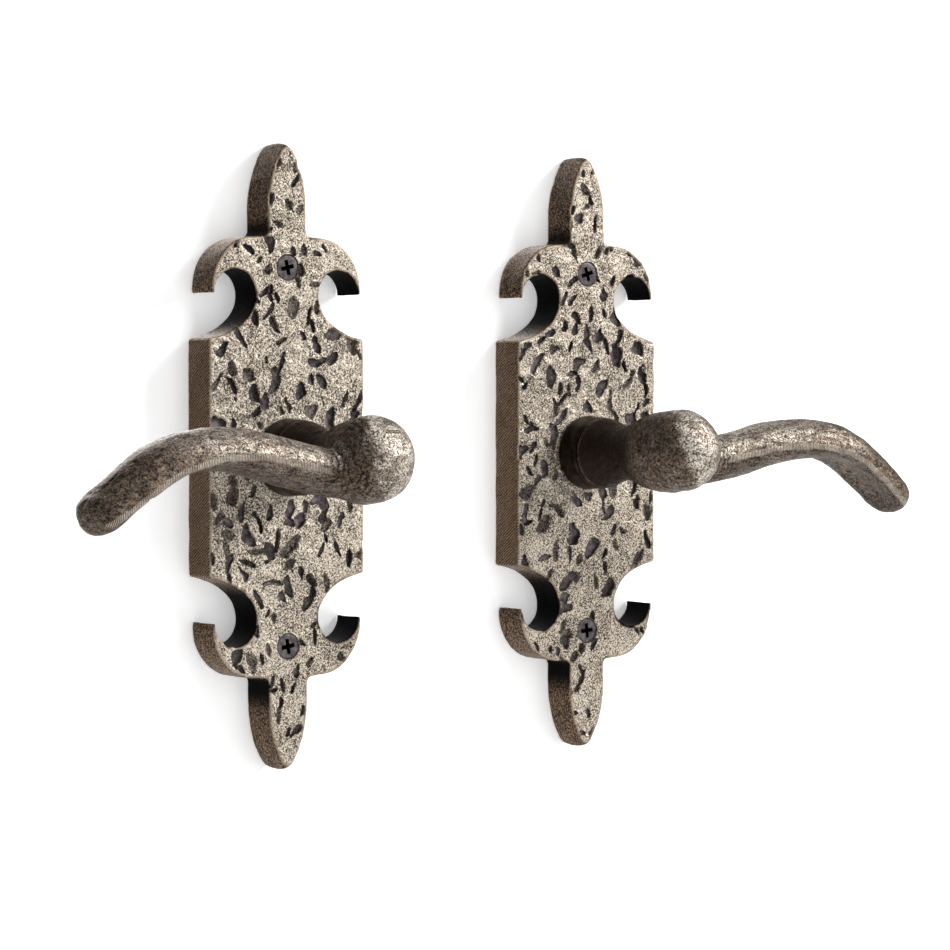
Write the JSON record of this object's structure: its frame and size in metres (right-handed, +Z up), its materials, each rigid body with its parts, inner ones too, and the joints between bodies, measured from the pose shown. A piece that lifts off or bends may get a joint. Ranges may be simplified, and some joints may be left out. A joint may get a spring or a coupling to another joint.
{
  "type": "lever door handle pair",
  "caption": "Handed pair of cast lever door handles on long fleur-de-lis backplates, with rustic dented faces, drooping levers, spring return and square spindles.",
  "frame": {"origin": "on the door face, the plane of both plates' backs, midway between the two spindle axes and at their height", "axes": "+X to the right across the pair as seen from the room, +Y into the door, +Z up"},
  "size_m": [0.3702, 0.1273, 0.2284],
  "materials": {
    "plate_casting": "sand-cast white bronze, grainy and full of dark oval gouges, dark patina rubbed back on the raised face",
    "lever_casting": "sand-cast white bronze with dark brown patina, rubbed bright on the ball and along the filed front ridge",
    "bush_bronze": "turned bronze, smooth, blackened",
    "screw_steel": "dull dark steel with a blackened recess",
    "machined_steel": "bright machined steel, fine turning and rolling marks",
    "spring_steel": "blued spring wire"
  },
  "bodies": {
    "plates": {"left_backplate": "plate_casting", "left_bearing_bush": "bush_bronze", "left_return_spring": "spring_steel", "left_stop_pin_rest": "machined_steel", "left_stop_pin_turned": "machined_steel", "left_cover_plate": "machined_steel", "left_cover_screw_1": "screw_steel", "left_cover_screw_2": "screw_steel", "left_cover_screw_3": "screw_steel", "left_cover_screw_4": "screw_steel", "left_mounting_screw_top": "screw_steel", "left_mounting_screw_bottom": "screw_steel", "right_backplate": "plate_casting", "right_bearing_bush": "bush_bronze", "right_return_spring": "spring_steel", "right_stop_pin_rest": "machined_steel", "right_stop_pin_turned": "machined_steel", "right_cover_plate": "machined_steel", "right_cover_screw_1": "screw_steel", "right_cover_screw_2": "screw_steel", "right_cover_screw_3": "screw_steel", "right_cover_screw_4": "screw_steel", "right_mounting_screw_top": "screw_steel", "right_mounting_screw_bottom": "screw_steel"},
    "left_lever": {"left_lever": "lever_casting", "left_spindle": "machined_steel", "left_grub_screw": "screw_steel", "left_thrust_washer": "machined_steel", "left_retaining_ring": "spring_steel", "left_spring_hub": "machined_steel"},
    "right_lever": {"right_lever": "lever_casting", "right_spindle": "machined_steel", "right_grub_screw": "screw_steel", "right_thrust_washer": "machined_steel", "right_retaining_ring": "spring_steel", "right_spring_hub": "machined_steel"}
  },
  "joints": [
    {"name": "left_lever_turn", "type": "hinge", "parent": "plates", "child": "left_lever", "pos_m": [-0.0688, 0, 0], "axis": [0, -1, 0], "range_deg": [0, 45], "stiffness_Nm_per_rad": 0.76, "springref_deg": -29.79, "deforming": ["left_return_spring"]},
    {"name": "right_lever_turn", "type": "hinge", "parent": "plates", "child": "right_lever", "pos_m": [0.0688, 0, 0], "axis": [0, 1, 0], "range_deg": [0, 45], "stiffness_Nm_per_rad": 0.76, "springref_deg": -29.79, "deforming": ["right_return_spring"]}
  ]
}
